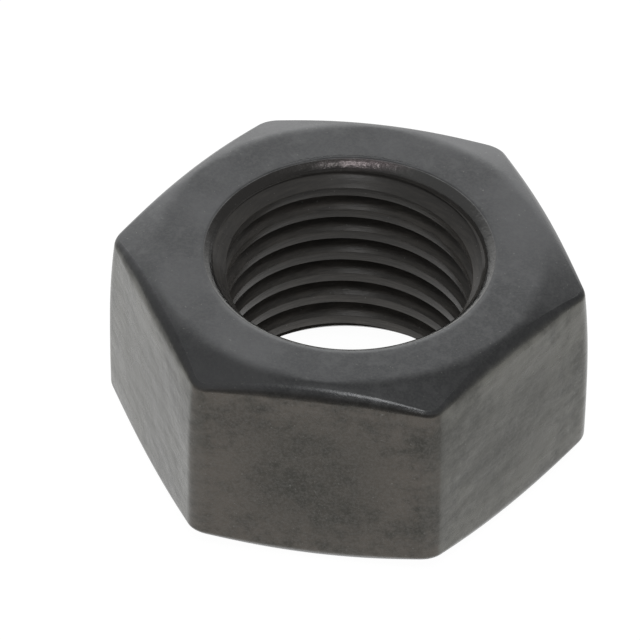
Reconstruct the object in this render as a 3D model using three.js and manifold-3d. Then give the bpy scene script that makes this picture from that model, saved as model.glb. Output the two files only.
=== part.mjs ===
// Hex nut, M12 x 1.25 fine pitch, chamfered on both faces. One solid block of steel.
// Millimetres, +Z up along the thread axis. The origin is the centre of the lower bearing face.
// Two of the six flats face along +X and -X.

import * as THREE from 'three';
import { mergeVertices } from 'three/addons/utils/BufferGeometryUtils.js';
import Module from 'manifold-3d';

// Hexagon
const ACROSS_FLATS = 18.7;
const HEIGHT = 9.83;
const CORNER_RADIUS = 0.94; // rounding of the six upright edges
const CORNER_SEGMENTS = 6; // facets on each rounded edge

// Chamfers: each is a cone that leaves a round bearing face and cuts the hexagon's corners
const TOP_FACE_DIAMETER = 17.26;
const TOP_CHAMFER = THREE.MathUtils.degToRad(19.6);
const BOTTOM_FACE_DIAMETER = 17.5;
const BOTTOM_CHAMFER = THREE.MathUtils.degToRad(21);

// Thread: ISO metric, right hand, 60 degrees
const MAJOR_DIAMETER = 12;
const MINOR_DIAMETER = 10.85;
const PITCH = 1.25;
const HALF_THREAD_ANGLE = THREE.MathUtils.degToRad(30);
const ROOT_WIDTH = PITCH / 8;
const THREAD_START = 0.14; // height of the groove's centre line where it passes the +X side

// Countersinks that lead a bolt into the thread
const TOP_SINK_DIAMETER = 12.9;
const TOP_SINK_DEPTH = 1.15;
const BOTTOM_SINK_DIAMETER = 12.7;
const BOTTOM_SINK_DEPTH = 0.92;

const SEGMENTS_PER_TURN = 36; // facets round the hole and round each turn of the thread
const CHAMFER_SEGMENTS = 96;
const OVERRUN = 1; // how far a cutting shape runs past the faces that it cuts
const GROOVE_OVERLAP = 0.2; // how far the groove's cutter reaches into the open hole

const STEEL = new THREE.MeshStandardMaterial({ color: 0x454644, roughness: 0.5, metalness: 0.9 });

const wasm = await Module();
wasm.setup();

function solidFromGeometry(geometry) {
  const shared = geometry.clone();
  shared.deleteAttribute('normal');
  shared.deleteAttribute('uv');
  const merged = mergeVertices(shared);
  return new wasm.Manifold(new wasm.Mesh({
    numProp: 3,
    vertProperties: new Float32Array(merged.attributes.position.array),
    triVerts: new Uint32Array(merged.index.array),
  }));
}

function geometryFromSolid(solid) {
  const mesh = solid.getMesh();
  const geometry = new THREE.BufferGeometry();
  geometry.setAttribute('position', new THREE.BufferAttribute(mesh.vertProperties, mesh.numProp));
  geometry.setIndex(new THREE.BufferAttribute(mesh.triVerts, 1));
  geometry.computeVertexNormals();
  return geometry;
}

// A solid of revolution about +Z, from a profile of [radius, height] pairs
function turned(profile, segments) {
  const points = profile.map(([radius, height]) => new THREE.Vector2(radius, height));
  const geometry = new THREE.LatheGeometry(points, segments);
  geometry.rotateX(Math.PI / 2);
  return solidFromGeometry(geometry);
}

// The hexagonal bar with rounded upright edges
function hexagonBar() {
  const cornerDistance = (ACROSS_FLATS / 2 - CORNER_RADIUS) / Math.cos(Math.PI / 6);
  const outline = new THREE.Shape();
  for (let corner = 0; corner < 6; corner += 1) {
    const direction = (corner + 0.5) * Math.PI / 3;
    outline.absarc(
      cornerDistance * Math.cos(direction),
      cornerDistance * Math.sin(direction),
      CORNER_RADIUS,
      direction - Math.PI / 6,
      direction + Math.PI / 6,
    );
  }
  const geometry = new THREE.ExtrudeGeometry(outline, {
    depth: HEIGHT,
    bevelEnabled: false,
    curveSegments: CORNER_SEGMENTS,
  });
  return solidFromGeometry(geometry);
}

// A disc between the two bearing faces, with both chamfer cones carried out past the corners
function chamferedDisc() {
  const reach = ACROSS_FLATS / 2 / Math.cos(Math.PI / 6) + OVERRUN;
  const topFall = (reach - TOP_FACE_DIAMETER / 2) * Math.tan(TOP_CHAMFER);
  const bottomRise = (reach - BOTTOM_FACE_DIAMETER / 2) * Math.tan(BOTTOM_CHAMFER);
  return turned([
    [0, 0],
    [BOTTOM_FACE_DIAMETER / 2, 0],
    [reach, bottomRise],
    [reach, HEIGHT - topFall],
    [TOP_FACE_DIAMETER / 2, HEIGHT],
    [0, HEIGHT],
  ], CHAMFER_SEGMENTS);
}

// The plain hole through the nut, with a countersink at each end
function countersunkHole() {
  const topSlope = (TOP_SINK_DIAMETER - MINOR_DIAMETER) / 2 / TOP_SINK_DEPTH;
  const bottomSlope = (BOTTOM_SINK_DIAMETER - MINOR_DIAMETER) / 2 / BOTTOM_SINK_DEPTH;
  return turned([
    [0, -OVERRUN],
    [BOTTOM_SINK_DIAMETER / 2 + OVERRUN * bottomSlope, -OVERRUN],
    [MINOR_DIAMETER / 2, BOTTOM_SINK_DEPTH],
    [MINOR_DIAMETER / 2, HEIGHT - TOP_SINK_DEPTH],
    [TOP_SINK_DIAMETER / 2 + OVERRUN * topSlope, HEIGHT + OVERRUN],
    [0, HEIGHT + OVERRUN],
  ], SEGMENTS_PER_TURN);
}

// A right-hand helix at the thread's minor diameter. Its section keeps square to the thread axis:
// x points away from the axis and y points along it.
class ThreadHelix extends THREE.Curve {
  constructor(radius, startTurn, turns) {
    super();
    this.radius = radius;
    this.startTurn = startTurn;
    this.turns = turns;
  }

  turnAt(t) {
    return this.startTurn + this.turns * t;
  }

  getPoint(t, target = new THREE.Vector3()) {
    const angle = 2 * Math.PI * this.turnAt(t);
    return target.set(
      this.radius * Math.cos(angle),
      this.radius * Math.sin(angle),
      THREAD_START + PITCH * this.turnAt(t),
    );
  }

  computeFrenetFrames(steps) {
    const frames = { tangents: [], normals: [], binormals: [] };
    for (let step = 0; step <= steps; step += 1) {
      const angle = 2 * Math.PI * this.turnAt(step / steps);
      frames.tangents.push(new THREE.Vector3(-Math.sin(angle), Math.cos(angle), 0));
      frames.normals.push(new THREE.Vector3(Math.cos(angle), Math.sin(angle), 0));
      frames.binormals.push(new THREE.Vector3(0, 0, -1));
    }
    return frames;
  }
}

// The V-shaped groove of the thread, a flat-bottomed section swept up the helix past both faces
function threadGroove() {
  const depth = (MAJOR_DIAMETER - MINOR_DIAMETER) / 2;
  const rootHalf = ROOT_WIDTH / 2;
  const mouthHalf = rootHalf + (depth + GROOVE_OVERLAP) * Math.tan(HALF_THREAD_ANGLE);
  const section = new THREE.Shape([
    new THREE.Vector2(-GROOVE_OVERLAP, -mouthHalf),
    new THREE.Vector2(depth, -rootHalf),
    new THREE.Vector2(depth, rootHalf),
    new THREE.Vector2(-GROOVE_OVERLAP, mouthHalf),
  ]);
  const startTurn = -1;
  const turns = Math.ceil(HEIGHT / PITCH) + 1 - startTurn;
  const geometry = new THREE.ExtrudeGeometry(section, {
    steps: turns * SEGMENTS_PER_TURN,
    extrudePath: new ThreadHelix(MINOR_DIAMETER / 2, startTurn, turns),
  });
  return solidFromGeometry(geometry);
}

function hexNut() {
  const blank = hexagonBar().intersect(chamferedDisc());
  const tapped = blank.subtract(countersunkHole()).subtract(threadGroove());
  const mesh = new THREE.Mesh(geometryFromSolid(tapped), STEEL);
  mesh.name = 'hex_nut';
  return mesh;
}

const nut = new THREE.Group();
nut.add(hexNut());

export default nut;
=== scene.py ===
"""An M12 x 1.25 hex nut in blackened steel, standing on a pale floor under soft studio light."""
import math

import bpy
import numpy as np
from mathutils import Matrix, Vector


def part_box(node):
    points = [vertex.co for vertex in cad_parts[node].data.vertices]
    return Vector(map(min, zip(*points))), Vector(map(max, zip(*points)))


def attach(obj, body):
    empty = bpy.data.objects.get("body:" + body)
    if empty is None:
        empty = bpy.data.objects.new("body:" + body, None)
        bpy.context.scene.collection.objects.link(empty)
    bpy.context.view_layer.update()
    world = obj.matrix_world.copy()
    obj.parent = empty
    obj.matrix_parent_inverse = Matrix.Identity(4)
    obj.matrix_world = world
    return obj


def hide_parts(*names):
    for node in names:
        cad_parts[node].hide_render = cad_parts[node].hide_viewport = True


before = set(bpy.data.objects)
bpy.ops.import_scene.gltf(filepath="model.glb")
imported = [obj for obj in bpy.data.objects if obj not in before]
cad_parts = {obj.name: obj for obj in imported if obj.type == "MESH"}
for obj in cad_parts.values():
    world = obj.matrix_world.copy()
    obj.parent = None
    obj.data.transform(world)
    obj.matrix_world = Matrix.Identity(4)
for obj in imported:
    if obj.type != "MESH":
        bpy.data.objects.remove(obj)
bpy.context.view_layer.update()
NODE = "hex_nut"
LOW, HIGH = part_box(NODE)

# Shape of the nut in millimetres, the same as the CAD model's
MM = 0.001
ACROSS_FLATS = (HIGH.x - LOW.x) / MM
HEIGHT = (HIGH.z - LOW.z) / MM
CORNER_RADIUS = 0.94
TOP_FACE_RADIUS = 8.63
TOP_CHAMFER = math.radians(19.6)
BOTTOM_FACE_RADIUS = 8.75
BOTTOM_CHAMFER = math.radians(21)
MAJOR_RADIUS = 6.0
MINOR_RADIUS = 5.425
PITCH = 1.25
THREAD_HALF_ANGLE = math.radians(30)
ROOT_WIDTH = PITCH / 8
THREAD_START = 0.14  # height of the groove's centre line where it passes the +X side
TOP_SINK_RADIUS = 6.45
BOTTOM_SINK_RADIUS = 6.35
BOTTOM_SINK_DEPTH = 0.92

# Shape that the CAD model leaves out
TOP_EDGE_ROUND = (0.9, 0.43)  # chamfer to side, in the middle of a flat and at a corner
BOTTOM_EDGE_ROUND = (0.82, 0.35)
FACE_EDGE_ROUND = 2.0  # bearing face to chamfer, where there is room
ROOM_SHARE = 0.9  # how much of the room that rounding may fill
TOP_RIM_ROUND = (0.8, 0.25)  # bearing face to countersink, opposite BACK_ANGLE and on that side
BOTTOM_RIM_ROUND = 0.1
CREST_ROUND = 0.03
ROOT_ROUND = 0.07
TOP_BARREL = 0.29  # how far the upright edges lean in at their top end
BOTTOM_BARREL = 0.1
BACK_ANGLE = math.radians(128.7)  # side of the top countersink that is worn the roundest
WAIST_DEPTH = 0.46  # the top countersink's rounded mouth ends at a waist about this deep
WAIST_RADIUS = 5.97  # radius of the mouth at that depth
WAIST_LIFT = 0.102  # how far the waist's mean height is above that depth
WAIST_SWAY = 0.17  # how far the waist rises and falls about its mean
WAIST_HIGH_ANGLE = math.radians(249)  # side where the waist is highest
MOUTH_BULGE = 0.75  # how much the mouth curves, from 0 for a straight cone
NECK_SLOPES = (0.7, 1.05, 1.732)  # radius lost per depth under the waist, at these places:
NECK_PLACES = (-0.5, -0.05, 0.35)  # cosine of the angle from BACK_ANGLE

# Mesh density
CORNER_HALF_SPAN = 5.0  # degrees each side of a corner
CORNER_STEP = 0.625
FLAT_STEP = 1.25
SINK_CUTS = 6  # lines round each part of a countersink
RIM_BITE = 0.17  # depth of the countersink that is drawn with the outside
FIRST_TURN = -3  # a turn of the thread that is wholly under the nut at every angle
CROSSING_STEP = 0.01
CREASE = math.radians(32)  # edges sharper than this are shaded as edges

# Camera, aimed near the middle of the nut, in metres with the lens in millimetres
CAMERA_AZIMUTH = math.radians(38.73)
CAMERA_ELEVATION = math.radians(41.34)
CAMERA_ROLL = math.radians(0.87)
CAMERA_DISTANCE = 0.7328
CAMERA_LENS = 935.8
AIM_RIGHT = -0.00126
AIM_UP = 0.00075

# Where the steel looks different, in millimetres. A pair runs from no effect to the full effect.
BROWNED_SIDE = (0.5, -0.866, 0.0)  # direction that the browned flat faces
PAINTED_SHADE_SIDE = (-0.995, 0.1, 0.0)  # side of the countersinks that is darker, where shade is painted
BURR_AND_SHEEN_SIDE = (math.cos(BACK_ANGLE), math.sin(BACK_ANGLE), 0.0)  # side where the rims are ragged, and where a purple tint is painted as the lamp's sheen
PAINTED_SHADE_REACH = (4.6, 6.8)  # distance toward the side of painted shade
BURR_AND_SHEEN_REACH = (5.6, 6.3)  # distance toward the side of the burrs and the painted sheen
BURR_START = (TOP_SINK_RADIUS, TOP_SINK_RADIUS + 0.12)  # radius where the ragged ring begins
BURR_END = (TOP_SINK_RADIUS + 0.32, TOP_SINK_RADIUS + 0.24)  # radius where it ends
MOUTH_RADII = (TOP_SINK_RADIUS, TOP_SINK_RADIUS - 0.08)  # inside the rims
OUTSIDE_RADII = (WAIST_RADIUS, WAIST_RADIUS + 0.12)  # outside the bore
WORN_HIGHLIGHT_RADII = (10.42, 10.62)  # the upright edges, lighter from wear and a painted highlight
MIDDLE_RADII = (10.2, 9.4)  # the middle of a flat, which is stained less
MIDDLE_HEIGHTS = (4.2, 1.5)  # its distance from half the nut's height
NECK_HEIGHTS = (HEIGHT - 1.35, HEIGHT - 0.95)  # the darker top of the bore

# Relief of the steel, in millimetres
GRAIN_HEIGHT = 0.0032  # everywhere
STREAK_HEIGHT = 0.012  # on the flats
MOTTLE_HEIGHT = 0.014
SWELL_HEIGHT = 0.06
RING_HEIGHT = 0.008  # in the bore
EDGE_HEIGHT = 0.012  # on rounded edges
BURR_DEPTH = 0.02
HAMMER_HEIGHT = 0.035  # in the countersink's mouth

# Studio, in metres and watts
FLOOR_HALF = 1.5
FLOOR_DROP = 0.00002  # gap that keeps the floor's surface clear of the nut's
FLOOR_GLOW = 0.97
LAMP_SIZE = 0.20
LAMP_POWER = 0.45
LAMP_FORWARD = 0.30
LAMP_RIGHT = 0.01
LAMP_HEIGHT = 0.70
TABLE_GLOW = 0.38  # added low down, on the camera's side
CEILING_GLOW = 0.32  # added round the direction of CEILING
CEILING = (0.12, -0.08, 0.99)
TENT_LEVELS = (  # brightness of the light tent: at 1 the brightest point, at 0 the point opposite
    (0.0, 0.20), (0.12, 0.22), (0.21, 0.30), (0.34, 0.46), (0.69, 0.44), (0.763, 0.42),
    (0.80, 0.50), (0.868, 0.90), (0.932, 1.25), (0.957, 1.6), (0.98, 1.74), (1.0, 2.1),
)


def hexagon_radius(angle):
    """Distance from the axis to the hexagon's rounded outline, flats facing 0, 60, 120 degrees..."""
    apothem = ACROSS_FLATS / 2
    off_flat = (angle + math.pi / 6) % (math.pi / 3) - math.pi / 6
    off_corner = math.pi / 6 - abs(off_flat)
    centre = (apothem - CORNER_RADIUS) / math.cos(math.pi / 6)
    flat_half = centre * math.sin(math.pi / 6)
    if apothem * math.tan(abs(off_flat)) <= flat_half:
        return apothem / math.cos(off_flat)
    offset = centre * math.sin(off_corner)
    return centre * math.cos(off_corner) + math.sqrt(CORNER_RADIUS**2 - offset**2)


def arc_points(before, corner, after, radius, steps):
    """Points of the arc that rounds a corner, from the side of before to the side of after."""
    to_before = (before - corner) / np.linalg.norm(before - corner)
    to_after = (after - corner) / np.linalg.norm(after - corner)
    half = math.acos(float(np.clip(to_before @ to_after, -1, 1))) / 2
    bisector = (to_before + to_after) / np.linalg.norm(to_before + to_after)
    centre = corner + bisector * radius / math.sin(half)
    start = corner + to_before * radius / math.tan(half) - centre
    end = corner + to_after * radius / math.tan(half) - centre
    sweep = math.pi - 2 * half
    return [
        centre + (math.sin(sweep * (1 - t)) * start + math.sin(sweep * t) * end) / math.sin(sweep)
        for t in np.linspace(0, 1, steps + 1)
    ]


def rounded_path(corners, rounds, straight_steps):
    """A path of straight lines with rounded corners.

    rounds gives (radius, steps) at each inner corner, straight_steps the cuts of each straight line.
    """
    corners = [np.array(c, float) for c in corners]
    arcs = [[corners[0]]]
    for i, (radius, steps) in enumerate(rounds, start=1):
        arcs.append(arc_points(corners[i - 1], corners[i], corners[i + 1], radius, steps))
    arcs.append([corners[-1]])
    path = list(arcs[0])
    for arc, steps in zip(arcs[1:], straight_steps):
        start = path[-1]
        path += [start + (arc[0] - start) * k / steps for k in range(1, steps)]
        path += arc
    return np.array(path)


def waist_depth(angle):
    """Depth of the waist under the top face."""
    return WAIST_DEPTH - WAIST_LIFT - WAIST_SWAY * math.cos(angle - WAIST_HIGH_ANGLE)


def between(ends, share):
    """The value a share of the way from the first end to the second."""
    return ends[0] + (ends[1] - ends[0]) * share


def backness(angle):
    """1 on the side of the countersink at BACK_ANGLE, falling to 0 opposite it."""
    return min(max(2 * math.cos(angle - BACK_ANGLE) + 1, 0), 1)


def neck_slope(angle):
    """Radius lost per depth in the neck, which joins the waist to the thread."""
    return np.interp(math.cos(angle - BACK_ANGLE), NECK_PLACES, NECK_SLOPES)


def mouth_radius(depth):
    """Radius of the top countersink's rounded mouth, which is steepest at its lower end."""
    part = 1 - depth / WAIST_DEPTH
    bulged = part + MOUTH_BULGE * (np.maximum(part, 0) * (part - 1) - np.minimum(part, 0))
    return WAIST_RADIUS + (TOP_SINK_RADIUS - WAIST_RADIUS) * bulged


def countersink(z, angle):
    """Radius of the wider countersink at height z. Far inside the hole it is under the thread's."""
    depth, waist = HEIGHT - z, waist_depth(angle)
    neck = mouth_radius(waist) - (depth - waist) * neck_slope(angle)
    top = np.where(depth < waist, mouth_radius(depth), neck)
    slope = (BOTTOM_SINK_RADIUS - MINOR_RADIUS) / BOTTOM_SINK_DEPTH
    return np.maximum(top, BOTTOM_SINK_RADIUS - slope * z)


def thread_profile():
    """One pitch of the thread as (radius, height), from the middle of one crest to the next."""
    root_half = ROOT_WIDTH / 2
    mouth_half = root_half + (MAJOR_RADIUS - MINOR_RADIUS) * math.tan(THREAD_HALF_ANGLE)
    corners = [
        (MINOR_RADIUS, -PITCH / 2),
        (MINOR_RADIUS, -mouth_half),
        (MAJOR_RADIUS, -root_half),
        (MAJOR_RADIUS, root_half),
        (MINOR_RADIUS, mouth_half),
        (MINOR_RADIUS, PITCH / 2),
    ]
    rounds = [(CREST_ROUND, 3), (ROOT_ROUND, 2), (ROOT_ROUND, 2), (CREST_ROUND, 3)]
    return rounded_path(corners, rounds, [1, 2, 1, 2, 1])


THREAD = thread_profile()[:-1]


def groove_height(angle):
    """Height of the right-hand thread's groove after an angle's climb."""
    return THREAD_START + PITCH * angle / math.tau


def thread_radius(z, angle):
    """Radius of the thread's surface."""
    height = (z - groove_height(angle) + PITCH / 2) % PITCH - PITCH / 2
    return np.interp(height, THREAD[:, 1], THREAD[:, 0], period=PITCH)


def crossings(angle):
    """The points where the thread's surface meets a countersink, as (label, radius, height)."""
    z = np.arange(RIM_BITE, HEIGHT - RIM_BITE, CROSSING_STEP)
    gap = thread_radius(z, angle) - countersink(z, angle)
    points = []
    for i in np.nonzero(np.diff(gap > 0))[0]:
        height = z[i] + CROSSING_STEP * gap[i] / (gap[i] - gap[i + 1])
        side = "top" if height > HEIGHT / 2 else "bottom"
        turn = math.floor((height - groove_height(angle)) / PITCH)
        points.append((("crossing", side, turn, gap[i] > 0), countersink(height, angle), height))
    return points


def bore_column(angle):
    """The inside of the nut at one angle, upwards, as (label, radius, height).

    Equal labels at neighbouring angles are the same line of the surface.
    """
    low, high = RIM_BITE, HEIGHT - RIM_BITE
    lines = crossings(angle)
    for turn in range(FIRST_TURN, math.ceil(HEIGHT / PITCH) + 1):
        for i, (radius, height) in enumerate(THREAD):
            z = groove_height(angle) + PITCH * turn + height
            if low < z < high and radius > countersink(z, angle):
                lines.append((("thread", turn * len(THREAD) + i), radius, z))
    waist = HEIGHT - waist_depth(angle)
    neck = waist - (mouth_radius(HEIGHT - waist) - MINOR_RADIUS) / neck_slope(angle)
    parts = (("bottom", low, BOTTOM_SINK_DEPTH), ("mouth", high, waist), ("neck", waist, neck))
    for part, start, end in parts:
        for i in range(SINK_CUTS):
            z = start + (end - start) * i / SINK_CUTS
            if z in (low, high) or countersink(z, angle) > thread_radius(z, angle):
                lines.append(((part, i), countersink(z, angle), z))
    return sorted(lines, key=lambda line: line[2])


def cornerness(radius):
    """0 in the middle of a flat and 1 at a corner."""
    nearest, furthest = ACROSS_FLATS / 2, hexagon_radius(math.pi / 6)
    return (radius - nearest) / (furthest - nearest)


def barrelled(path, radius):
    """The outer path with its upright part leaning in towards both ends, most at a corner."""
    above = 2 * path[:, 1] / HEIGHT - 1
    lean = np.where(above > 0, TOP_BARREL, BOTTOM_BARREL) * cornerness(radius) * above**2
    face = np.where(above > 0, TOP_FACE_RADIUS, BOTTOM_FACE_RADIUS)
    outward = np.clip((path[:, 0] - face) / (radius - face), 0, 1)
    return path - np.stack([lean * outward, np.zeros(len(path))], axis=1)


def face_round(length, slope, edge):
    """The rounding of a chamfer's inner edge, in what room the rounding of its outer edge leaves."""
    room = length - edge / math.tan((math.pi / 2 + slope) / 2)
    return min(FACE_EDGE_ROUND, ROOM_SHARE * room / math.tan(slope / 2))


def outer_column(angle):
    """The outside of the nut at one angle, from inside the top rim to inside the bottom rim."""
    radius = hexagon_radius(angle)
    top_length = (radius - TOP_FACE_RADIUS) / math.cos(TOP_CHAMFER)
    bottom_length = (radius - BOTTOM_FACE_RADIUS) / math.cos(BOTTOM_CHAMFER)
    top_edge = between(TOP_EDGE_ROUND, cornerness(radius))
    bottom_edge = between(BOTTOM_EDGE_ROUND, cornerness(radius))
    corners = [
        (mouth_radius(RIM_BITE), HEIGHT - RIM_BITE),
        (TOP_SINK_RADIUS, HEIGHT),
        (TOP_FACE_RADIUS, HEIGHT),
        (radius, HEIGHT - top_length * math.sin(TOP_CHAMFER)),
        (radius, bottom_length * math.sin(BOTTOM_CHAMFER)),
        (BOTTOM_FACE_RADIUS, 0),
        (BOTTOM_SINK_RADIUS, 0),
        (countersink(RIM_BITE, angle), RIM_BITE),
    ]
    rounds = [
        (between(TOP_RIM_ROUND, backness(angle)), 5),
        (face_round(top_length, TOP_CHAMFER, top_edge), 5),
        (top_edge, 9),
        (bottom_edge, 8),
        (face_round(bottom_length, BOTTOM_CHAMFER, bottom_edge), 4),
        (BOTTOM_RIM_ROUND, 3),
    ]
    return barrelled(rounded_path(corners, rounds, [2, 7, 3, 16, 3, 5, 2]), radius)


def column_angles():
    """The angles of the mesh's columns, closer together at the six corners."""
    angles = []
    for corner in range(6):
        middle = 30 + 60 * corner
        first, last = middle - CORNER_HALF_SPAN, middle + CORNER_HALF_SPAN
        angles += list(np.arange(first, last, CORNER_STEP))
        angles += list(np.arange(last, last + 60 - 2 * CORNER_HALF_SPAN, FLAT_STEP))
    return [math.radians(a % 360) for a in sorted(a % 360 for a in angles)]


def vertex_at(radius, height, angle):
    """A vertex in metres."""
    return (radius * math.cos(angle) * MM, radius * math.sin(angle) * MM, height * MM)


def zip_columns(left, right):
    """Faces between two columns of (label, vertex) that both run upwards."""
    places = {label: i for i, (label, _) in enumerate(right)}
    anchors = [(0, 0)]
    for i, (label, _) in enumerate(left[1:-1], start=1):
        j = places.get(label)
        if j is not None and anchors[-1][1] < j < len(right) - 1:
            anchors.append((i, j))
    anchors.append((len(left) - 1, len(right) - 1))
    faces = []
    for (i, j), (i_end, j_end) in zip(anchors, anchors[1:]):
        if i_end - i == 1 and j_end - j == 1:
            faces.append((left[i][1], left[i_end][1], right[j_end][1], right[j][1]))
            continue
        i_count, j_count = i_end - i, j_end - j
        done_i = done_j = 0
        while done_i < i_count or done_j < j_count:
            step_left = done_j == j_count or (
                done_i < i_count and (done_i + 0.5) / i_count <= (done_j + 0.5) / j_count
            )
            here, there = left[i + done_i][1], right[j + done_j][1]
            if step_left:
                done_i += 1
                faces.append((here, left[i + done_i][1], there))
            else:
                done_j += 1
                faces.append((here, right[j + done_j][1], there))
    return faces


def nut_mesh():
    """The whole surface of the nut: columns round the axis, each one closed loop of its section."""
    vertices, faces = [], []
    bores, outers = [], []
    angles = column_angles()
    for angle in angles:
        column = bore_column(angle)
        bore = []
        for label, radius, z in column:
            bore.append((label, len(vertices)))
            vertices.append(vertex_at(radius, z, angle))
        outer = [bore[-1][1]]
        for radius, z in outer_column(angle)[1:-1]:
            outer.append(len(vertices))
            vertices.append(vertex_at(radius, z, angle))
        outer.append(bore[0][1])
        bores.append(bore)
        outers.append(outer)
    last_labels = [label for label, _, _ in bore_column(angles[0] + math.tau)]
    closing = [(label, vertex) for label, (_, vertex) in zip(last_labels, bores[0])]
    for i, outer in enumerate(outers):
        following = outers[(i + 1) % len(outers)]
        next_bore = closing if i == len(outers) - 1 else bores[i + 1]
        faces += zip_columns(bores[i], next_bore)
        for j in range(len(outer) - 1):
            faces.append((outer[j], outer[j + 1], following[j + 1], following[j]))
    mesh = bpy.data.meshes.new("nut_surface")
    mesh.from_pydata(vertices, [], faces)
    mesh.validate()
    mesh.shade_smooth()
    mesh.set_sharp_from_angle(angle=CREASE)
    return mesh


def camera():
    """A long lens in front of the nut, a little over 40 degrees above the floor."""
    back = Vector((
        math.sin(CAMERA_AZIMUTH) * math.cos(CAMERA_ELEVATION),
        -math.cos(CAMERA_AZIMUTH) * math.cos(CAMERA_ELEVATION),
        math.sin(CAMERA_ELEVATION),
    ))
    right = Vector((math.cos(CAMERA_AZIMUTH), math.sin(CAMERA_AZIMUTH), 0))
    up = back.cross(right)
    middle = Vector((0, 0, HIGH.z / 2))
    aim = middle + right * AIM_RIGHT + up * AIM_UP
    data = bpy.data.cameras.new("camera")
    data.lens = CAMERA_LENS
    data.sensor_width = 36
    data.clip_start = 0.01
    data.clip_end = 10
    cam = bpy.data.objects.new("camera", data)
    cam.location = middle + back * CAMERA_DISTANCE
    look = (cam.location - aim).to_track_quat("Z", "Y").to_matrix().to_4x4()
    cam.matrix_world = Matrix.Translation(cam.location) @ look @ Matrix.Rotation(CAMERA_ROLL, 4, "Z")
    bpy.context.scene.collection.objects.link(cam)
    bpy.context.scene.camera = cam


class Shader:
    """Adds nodes to one material's or world's tree."""

    def __init__(self, tree):
        self.tree = tree
        tree.nodes.clear()

    def add(self, kind, inputs=None, **settings):
        """A node with its settings, and its inputs set to values or linked to other nodes' outputs."""
        node = self.tree.nodes.new(kind)
        for name, value in settings.items():
            setattr(node, name, value)
        for name, value in (inputs or {}).items():
            if isinstance(value, bpy.types.NodeSocket):
                self.tree.links.new(value, node.inputs[name])
            else:
                node.inputs[name].default_value = value
        return node

    def math(self, operation, first, second=0.0):
        return self.add("ShaderNodeMath", {0: first, 1: second}, operation=operation).outputs[0]

    def plus(self, first, second):
        return self.math("ADD", first, second)

    def times(self, first, second):
        return self.math("MULTIPLY", first, second)

    def smooth(self, value, start, end):
        """0 below start and 1 above end, smooth between. Start may be the larger."""
        inputs = {"Value": value, "From Min": start, "From Max": end}
        return self.add("ShaderNodeMapRange", inputs, interpolation_type="SMOOTHSTEP").outputs[0]

    def fit(self, value, low, high):
        """Spreads a value of 0 to 1 over low to high."""
        inputs = {"Value": value, "To Min": low, "To Max": high}
        return self.add("ShaderNodeMapRange", inputs).outputs[0]

    def blend(self, factor, first, second):
        """From the first colour to the second."""
        inputs = {0: factor, 6: first, 7: second}
        return self.add("ShaderNodeMix", inputs, data_type="RGBA").outputs[2]

    def mix(self, factor, first, second):
        """From the first value to the second."""
        inputs = {0: factor, 2: first, 3: second}
        return self.add("ShaderNodeMix", inputs, data_type="FLOAT").outputs[0]

    def toward(self, place, direction):
        """How far a place lies, or a direction points, toward another direction."""
        node = self.add("ShaderNodeVectorMath", {0: place, 1: direction}, operation="DOT_PRODUCT")
        return node.outputs["Value"]

    def noise(self, place, scale, detail=3.0, roughness=0.5):
        """Noise from 0 to 1 at a place in millimetres. Scale is cycles per millimetre, one per axis."""
        scaled = self.add("ShaderNodeVectorMath", {0: place, 1: scale}, operation="MULTIPLY").outputs[0]
        inputs = {"Vector": scaled, "Scale": 1.0, "Detail": detail, "Roughness": roughness}
        return self.add("ShaderNodeTexNoise", inputs).outputs["Fac"]


def rgb(red, green, blue):
    """A colour in linear light, with full alpha."""
    return (red, green, blue, 1.0)


COOL_DARK = rgb(0.062, 0.063, 0.065)  # bearing faces and chamfers
COOL_LIGHT = rgb(0.086, 0.087, 0.090)
COOL_MOTTLE = rgb(0.098, 0.099, 0.101)
COOL_GRAIN = rgb(0.104, 0.107, 0.104)
FLAT_DARK = rgb(0.066, 0.066, 0.060)  # the flats
FLAT_LIGHT = rgb(0.124, 0.123, 0.111)
FLAT_GRAIN = rgb(0.116, 0.112, 0.106)
BROWN_DARK = rgb(0.050, 0.049, 0.044)  # the browned flat
BROWN_LIGHT = rgb(0.096, 0.087, 0.077)
THREAD_DARK = rgb(0.055, 0.052, 0.048)
THREAD_LIGHT = rgb(0.090, 0.083, 0.075)
NECK_DARK = rgb(0.044, 0.043, 0.042)
MOUTH_GREY = rgb(0.098, 0.098, 0.096)
# oxide's purple tint, a little lighter, painted where the lamp's sheen falls
MOUTH_PURPLE_SHEEN = rgb(0.120, 0.104, 0.106)
# painted shade on one side of the countersinks
MOUTH_PAINTED_SHADE = rgb(0.054, 0.052, 0.050)
# wear and painted highlight on the upright edges
WORN_HIGHLIGHT_GREY = rgb(0.150, 0.147, 0.138)
SPECK_GREY = rgb(0.20, 0.20, 0.19)


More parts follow.
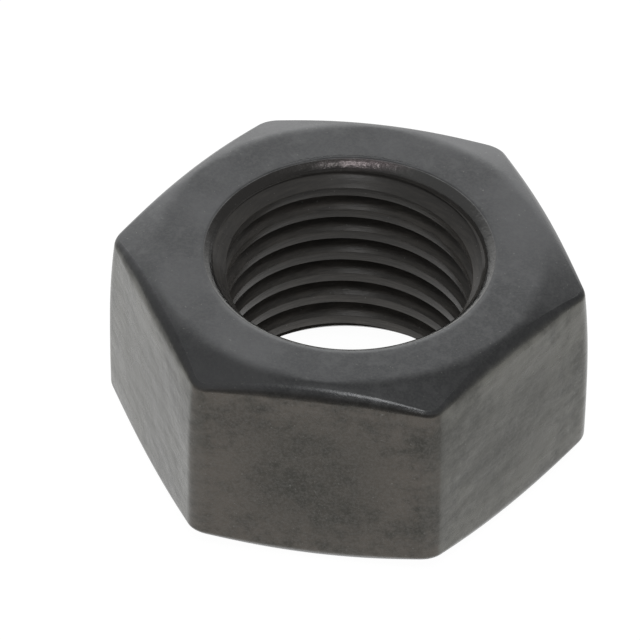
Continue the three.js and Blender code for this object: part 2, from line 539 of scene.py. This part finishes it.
class SteelPattern:
    """What the steel's colour, roughness and relief share: masks from 0 to 1, and noises."""

    def __init__(self, s):
        coordinates = s.add("ShaderNodeTexCoord")
        self.normal = coordinates.outputs["Normal"]
        to_mm = {0: coordinates.outputs["Object"], 1: (1 / MM,) * 3}
        self.place = s.add("ShaderNodeVectorMath", to_mm, operation="MULTIPLY").outputs[0]
        x, y, self.z = s.add("ShaderNodeSeparateXYZ", {0: self.place}).outputs
        self.radius = s.math("SQRT", s.plus(s.math("POWER", x, 2.0), s.math("POWER", y, 2.0)))
        self.tilt = s.math("ABSOLUTE", s.add("ShaderNodeSeparateXYZ", {0: self.normal}).outputs[2])

        self.outside = s.smooth(self.radius, *OUTSIDE_RADII)
        self.bore = s.math("SUBTRACT", 1.0, self.outside)
        self.side = s.times(s.smooth(self.tilt, 0.75, 0.25), self.outside)
        self.mouth = s.smooth(self.radius, *MOUTH_RADII)
        # the back side: ragged rims, and a purple tint painted as the lamp's sheen
        self.burr_and_sheen = s.smooth(s.toward(self.place, BURR_AND_SHEEN_SIDE), *BURR_AND_SHEEN_REACH)

        self.patch = s.noise(self.place, (0.24, 0.24, 0.32), 5.0, 0.62)
        self.mottle = s.noise(self.place, (1.7, 1.7, 2.2), 4.0, 0.65)
        self.grain = s.noise(self.place, (8.0, 8.0, 8.0), 3.0, 0.7)
        self.turning = s.noise(self.place, (0.8, 0.8, 11.0), 4.0, 0.7)


def face_colour(s, pattern):
    """The bearing faces and chamfers: cool, cloudy and finely mottled."""
    cloud = s.noise(pattern.place, (0.16, 0.16, 0.16), 2.0)
    colour = s.blend(s.smooth(cloud, 0.36, 0.64), COOL_DARK, COOL_LIGHT)
    colour = s.blend(s.times(s.smooth(pattern.mottle, 0.45, 0.7), 0.5), colour, COOL_MOTTLE)
    return s.blend(s.times(s.smooth(pattern.grain, 0.42, 0.6), 0.3), colour, COOL_GRAIN)


def side_colour(s, pattern):
    """The flats: stained in patches, less in the middle of each flat, and one of them brown."""
    off_middle = s.math("ABSOLUTE", s.math("SUBTRACT", pattern.z, HEIGHT / 2))
    middle = s.times(s.smooth(pattern.radius, *MIDDLE_RADII), s.smooth(off_middle, *MIDDLE_HEIGHTS))
    stain = s.smooth(s.mix(0.35, pattern.patch, pattern.mottle), 0.38, 0.60)
    stain = s.times(stain, s.fit(middle, 1.0, 0.5))
    neutral = s.blend(stain, FLAT_DARK, FLAT_LIGHT)
    brown = s.blend(stain, BROWN_DARK, BROWN_LIGHT)
    browned = s.smooth(s.toward(pattern.normal, BROWNED_SIDE), 0.60, 0.72)
    colour = s.blend(browned, neutral, brown)
    return s.blend(s.times(s.smooth(pattern.grain, 0.4, 0.65), 0.4), colour, FLAT_GRAIN)


def bore_colour(s, pattern):
    """The thread, with fine turned rings, and the darker neck above it."""
    colour = s.blend(s.smooth(pattern.turning, 0.35, 0.7), THREAD_DARK, THREAD_LIGHT)
    return s.blend(s.times(s.smooth(pattern.z, *NECK_HEIGHTS), 0.5), colour, NECK_DARK)


def mouth_colour(s, pattern):
    """The countersinks: a little purple on the side where their rims are ragged, a tint partly painted
    as the lamp's sheen there, and painted shade darkening another side.
    """
    # painted sheen: a lighter purple tint where the lamp's sheen falls on the countersink's back wall
    colour = s.blend(pattern.burr_and_sheen, MOUTH_GREY, MOUTH_PURPLE_SHEEN)
    # painted shade: the countersinks darker toward one side, in patches
    painted_shade = s.plus(s.toward(pattern.place, PAINTED_SHADE_SIDE), s.times(pattern.mottle, 2.0))
    return s.blend(s.smooth(painted_shade, *PAINTED_SHADE_REACH), colour, MOUTH_PAINTED_SHADE)


def steel_colour(s, pattern):
    """The colours of all parts, with upright edges lightened as wear and painted highlight, and
    scattered light specks.
    """
    colour = s.blend(pattern.side, face_colour(s, pattern), side_colour(s, pattern))
    # wear and painted highlight: the upright edges a little lighter
    colour = s.blend(s.times(s.smooth(pattern.radius, *WORN_HIGHLIGHT_RADII), 0.12), colour, WORN_HIGHLIGHT_GREY)
    colour = s.blend(pattern.mouth, colour, mouth_colour(s, pattern))
    colour = s.blend(pattern.bore, colour, bore_colour(s, pattern))
    speck = s.smooth(s.noise(pattern.place, (7.0, 7.0, 7.0), 1.0), 0.735, 0.78)
    return s.blend(s.times(speck, 0.4), colour, SPECK_GREY)


def steel_roughness(s, pattern):
    """Even on the faces, patchy on the flats, ringed in the bore, and polished on rounded edges."""
    rough = s.mix(pattern.side, s.fit(pattern.patch, 0.28, 0.36), s.fit(pattern.patch, 0.18, 0.34))
    rough = s.mix(pattern.bore, rough, s.fit(pattern.turning, 0.18, 0.30))
    polished = s.times(s.smooth(pattern.tilt, 0.05, 0.3), s.smooth(pattern.tilt, 0.93, 0.86))
    return s.mix(s.times(polished, pattern.outside), rough, 0.24)


def burr(s, pattern):
    """1 in a ragged ring just outside the countersinks, on the side where their rims are ragged."""
    ragged = s.plus(pattern.radius, s.times(pattern.grain, 0.3))
    ring = s.times(s.smooth(ragged, *BURR_START), s.smooth(ragged, *BURR_END))
    return s.times(ring, pattern.burr_and_sheen)


def steel_relief(s, pattern):
    """Height of the surface's fine relief, in millimetres."""
    streak = s.noise(pattern.place, (0.5, 0.5, 3.6), 5.0, 0.75)
    swell = s.noise(pattern.place, (0.5, 0.5, 0.9), 1.5)
    side = s.plus(s.times(streak, STREAK_HEIGHT), s.times(pattern.mottle, MOTTLE_HEIGHT))
    side = s.plus(side, s.times(swell, SWELL_HEIGHT))
    rings = s.times(s.times(pattern.turning, pattern.bore), RING_HEIGHT)
    relief = s.plus(s.times(pattern.grain, GRAIN_HEIGHT), s.plus(s.times(side, pattern.side), rings))
    edge = s.times(s.smooth(pattern.tilt, 0.35, 0.6), s.smooth(pattern.tilt, 0.93, 0.86))
    relief = s.plus(relief, s.times(s.times(pattern.mottle, edge), EDGE_HEIGHT))
    relief = s.math("SUBTRACT", relief, s.times(burr(s, pattern), BURR_DEPTH))
    hammered = s.times(s.times(pattern.mouth, pattern.outside), pattern.mottle)
    return s.plus(relief, s.times(hammered, HAMMER_HEIGHT))


def blackened_steel():
    """Heat-treated steel with a thin dark oxide. The outside shines like metal, the bore is duller."""
    material = bpy.data.materials.new("blackened_steel")
    material.use_nodes = True
    s = Shader(material.node_tree)
    pattern = SteelPattern(s)
    relief = {"Height": steel_relief(s, pattern), "Distance": MM, "Strength": 1.0}
    shader = s.add("ShaderNodeBsdfPrincipled", {
        "Base Color": steel_colour(s, pattern),
        "Roughness": steel_roughness(s, pattern),
        "Metallic": pattern.outside,
        "Specular IOR Level": 0.20,
        "Normal": s.add("ShaderNodeBump", relief).outputs[0],
    })
    s.add("ShaderNodeOutputMaterial", {"Surface": shader.outputs[0]})
    return material


def floor():
    """A pale floor that glows faintly, like the lit table of a product shot."""
    material = bpy.data.materials.new("pale_floor")
    material.use_nodes = True
    s = Shader(material.node_tree)
    shader = s.add("ShaderNodeBsdfPrincipled", {
        "Base Color": rgb(0.10, 0.10, 0.10),
        "Roughness": 0.9,
        "Specular IOR Level": 0.0,
        "Emission Color": rgb(1, 1, 1),
        "Emission Strength": FLOOR_GLOW,
    })
    s.add("ShaderNodeOutputMaterial", {"Surface": shader.outputs[0]})
    signs = ((-1, -1), (1, -1), (1, 1), (-1, 1))
    corners = [(x * FLOOR_HALF, y * FLOOR_HALF, -FLOOR_DROP) for x, y in signs]
    mesh = bpy.data.meshes.new("floor")
    mesh.from_pydata(corners, [], [(0, 1, 2, 3)])
    mesh.materials.append(material)
    plane = bpy.data.objects.new("floor", mesh)
    bpy.context.scene.collection.objects.link(plane)


def studio():
    """A light tent, brightest low behind the nut, with a soft lamp high in front of it."""
    toward_camera = Vector((math.sin(CAMERA_AZIMUTH), -math.cos(CAMERA_AZIMUTH), 0))
    right = Vector((math.cos(CAMERA_AZIMUTH), math.sin(CAMERA_AZIMUTH), 0))
    brightest = (-0.97 * toward_camera - 0.1 * right + Vector((0, 0, 0.2))).normalized()
    world = bpy.data.worlds.new("studio")
    world.use_nodes = True
    bpy.context.scene.world = world
    s = Shader(world.node_tree)
    direction = s.add("ShaderNodeTexCoord").outputs["Generated"]
    along = s.toward(direction, brightest)
    ramp = s.add("ShaderNodeValToRGB", {"Fac": s.times(s.plus(along, 1.0), 0.5)})
    elements = ramp.color_ramp.elements
    while len(elements) < len(TENT_LEVELS):
        elements.new(0.5)
    for element, (position, level) in zip(elements, TENT_LEVELS):
        element.position = position
        element.color = rgb(level, level, level)
    low = s.smooth(s.add("ShaderNodeSeparateXYZ", {0: direction}).outputs[2], 0.45, 0.0)
    table_glow = s.times(s.times(low, s.smooth(along, 0.2, -0.4)), TABLE_GLOW)
    ceiling = s.times(s.smooth(s.toward(direction, CEILING), 0.89, 0.98), CEILING_GLOW)
    brightness = s.plus(s.plus(ramp.outputs[0], table_glow), ceiling)
    shade = s.add("ShaderNodeBackground", {"Color": brightness, "Strength": 1.0})
    s.add("ShaderNodeOutputWorld", {"Surface": shade.outputs[0]})

    light = bpy.data.lights.new("softbox", "AREA")
    light.shape = "DISK"
    light.size = LAMP_SIZE
    light.energy = LAMP_POWER
    lamp = bpy.data.objects.new("softbox", light)
    lamp.location = LAMP_FORWARD * toward_camera + LAMP_RIGHT * right + Vector((0, 0, LAMP_HEIGHT))
    lamp.rotation_euler = lamp.location.to_track_quat("Z", "Y").to_euler()
    bpy.context.scene.collection.objects.link(lamp)
    bpy.context.scene.view_settings.view_transform = "Standard"


nut = bpy.data.objects.new("nut", nut_mesh())
bpy.context.scene.collection.objects.link(nut)
nut.data.materials.append(blackened_steel())
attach(nut, "root")
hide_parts(NODE)
camera()
floor()
studio()
